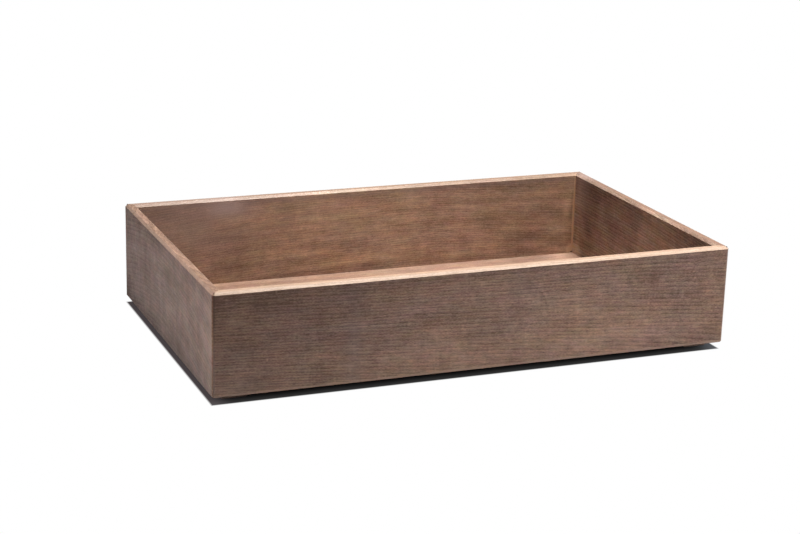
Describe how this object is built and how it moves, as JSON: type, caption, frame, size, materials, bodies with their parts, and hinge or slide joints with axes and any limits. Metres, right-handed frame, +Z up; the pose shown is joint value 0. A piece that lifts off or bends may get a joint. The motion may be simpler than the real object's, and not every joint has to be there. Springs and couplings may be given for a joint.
{
  "type": "wooden crate",
  "caption": "Shallow open-top wooden crate with a chamfered rim, mitred corners, a let-in base panel and square rubber feet.",
  "frame": {"origin": "on the ground under the centre of the crate's footprint", "axes": "+Z up, +X along the long walls, -Y towards the front wall"},
  "size_m": [0.53, 0.325, 0.1055],
  "materials": {
    "wall_wood": "satin, brown-stained ash with straight grain along each board",
    "base_wood": "satin, brown-stained ash-faced panel",
    "spline_wood": "bare sawn hardwood, hidden in the corner joints",
    "foot_rubber": "matt moulded rubber",
    "steel": "zinc-plated screws, washers and panel pins"
  },
  "bodies": {
    "root": {"front_wall": "wall_wood", "back_wall": "wall_wood", "left_wall": "wall_wood", "right_wall": "wall_wood", "base_panel": "base_wood", "corner_spline_front_left": "spline_wood", "corner_spline_front_right": "spline_wood", "corner_spline_back_right": "spline_wood", "corner_spline_back_left": "spline_wood", "foot_front_left": "foot_rubber", "foot_front_right": "foot_rubber", "foot_back_right": "foot_rubber", "foot_back_left": "foot_rubber", "foot_washer_front_left": "steel", "foot_washer_front_right": "steel", "foot_washer_back_right": "steel", "foot_washer_back_left": "steel", "foot_screw_front_left": "steel", "foot_screw_front_right": "steel", "foot_screw_back_right": "steel", "foot_screw_back_left": "steel", "base_pin_front_1": "steel", "base_pin_front_2": "steel", "base_pin_front_3": "steel", "base_pin_front_4": "steel", "base_pin_back_1": "steel", "base_pin_back_2": "steel", "base_pin_back_3": "steel", "base_pin_back_4": "steel", "base_pin_left_1": "steel", "base_pin_left_2": "steel", "base_pin_left_3": "steel", "base_pin_right_1": "steel", "base_pin_right_2": "steel", "base_pin_right_3": "steel"}
  },
  "joints": []
}
